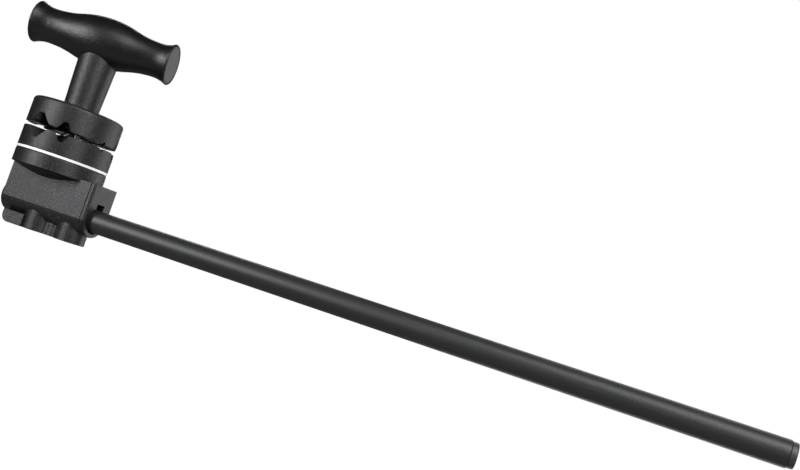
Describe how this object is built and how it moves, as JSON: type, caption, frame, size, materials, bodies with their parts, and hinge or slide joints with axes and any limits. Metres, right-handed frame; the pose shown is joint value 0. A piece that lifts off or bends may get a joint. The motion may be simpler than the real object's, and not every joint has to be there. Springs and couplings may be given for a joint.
{
  "type": "extension grip arm with grip head",
  "caption": "Studio grip arm: round rod with a clamping grip head at one end, two V-grooved jaw discs, a white friction washer and a T-handle.",
  "frame": {"origin": "on the arm's axis, where the arm leaves the head's end face", "axes": "+X along the arm towards its free end, +Z along the clamping stud towards the T-handle, +Y completes the right-handed set"},
  "size_m": [0.5624, 0.0636, 0.1605],
  "materials": {
    "black_tube": "semi-gloss black",
    "end_plug": "moulded",
    "steel": "turned",
    "black_casting": "fine textured powder coat",
    "white_washer": "moulded",
    "dark_steel": "oxide black",
    "spring_steel": "drawn wire",
    "black_grip": "semi-gloss moulded",
    "grip_cap": "matt"
  },
  "bodies": {
    "arm": {"arm_tube": "black_tube", "arm_end_plug": "end_plug", "arm_retainer": "steel"},
    "head": {"body_casting": "black_casting", "body_end_cap": "black_casting", "eye_stud": "steel", "friction_washer": "white_washer"},
    "lower_clamp": {"lower_jaw": "black_casting", "alignment_pin_front": "dark_steel", "alignment_pin_back": "dark_steel", "jaw_spring": "spring_steel"},
    "upper_clamp": {"upper_jaw": "black_casting", "bearing_lower_race": "steel"},
    "handle_bearing": {"bearing_cage": "steel", "bearing_needles": "steel"},
    "t_handle": {"bearing_upper_race": "steel", "handle_hub": "black_casting", "handle_insert": "steel", "handle_grip": "black_grip", "handle_end_cap_right": "grip_cap", "handle_end_cap_left": "grip_cap"}
  },
  "joints": [
    {"name": "head_swivel", "type": "hinge", "parent": "arm", "child": "head", "pos_m": [0, 0, 0], "axis": [1, 0, 0], "continuous": true},
    {"name": "jaw_swivel", "type": "hinge", "parent": "head", "child": "lower_clamp", "pos_m": [-0.043, 0, 0], "axis": [0, 0, 1], "continuous": true},
    {"name": "jaw_open", "type": "slide", "parent": "lower_clamp", "child": "upper_clamp", "axis": [0, 0, 1], "range_m": [-0.0027, 0.0112], "deforming": ["jaw_spring"]},
    {"name": "handle_lift", "type": "slide", "parent": "head", "child": "handle_bearing", "axis": [0, 0, 1], "range_m": [-0.0027, 0.0112]},
    {"name": "t_handle_turn", "type": "hinge", "parent": "handle_bearing", "child": "t_handle", "pos_m": [-0.043, 0, 0], "axis": [0, 0, 1], "range_deg": [-600, 2520]}
  ],
  "couplings": [
    {"joint": "jaw_open", "follows": "t_handle_turn", "m_per_rad": 0.00025266},
    {"joint": "handle_lift", "follows": "t_handle_turn", "m_per_rad": 0.00025266}
  ]
}
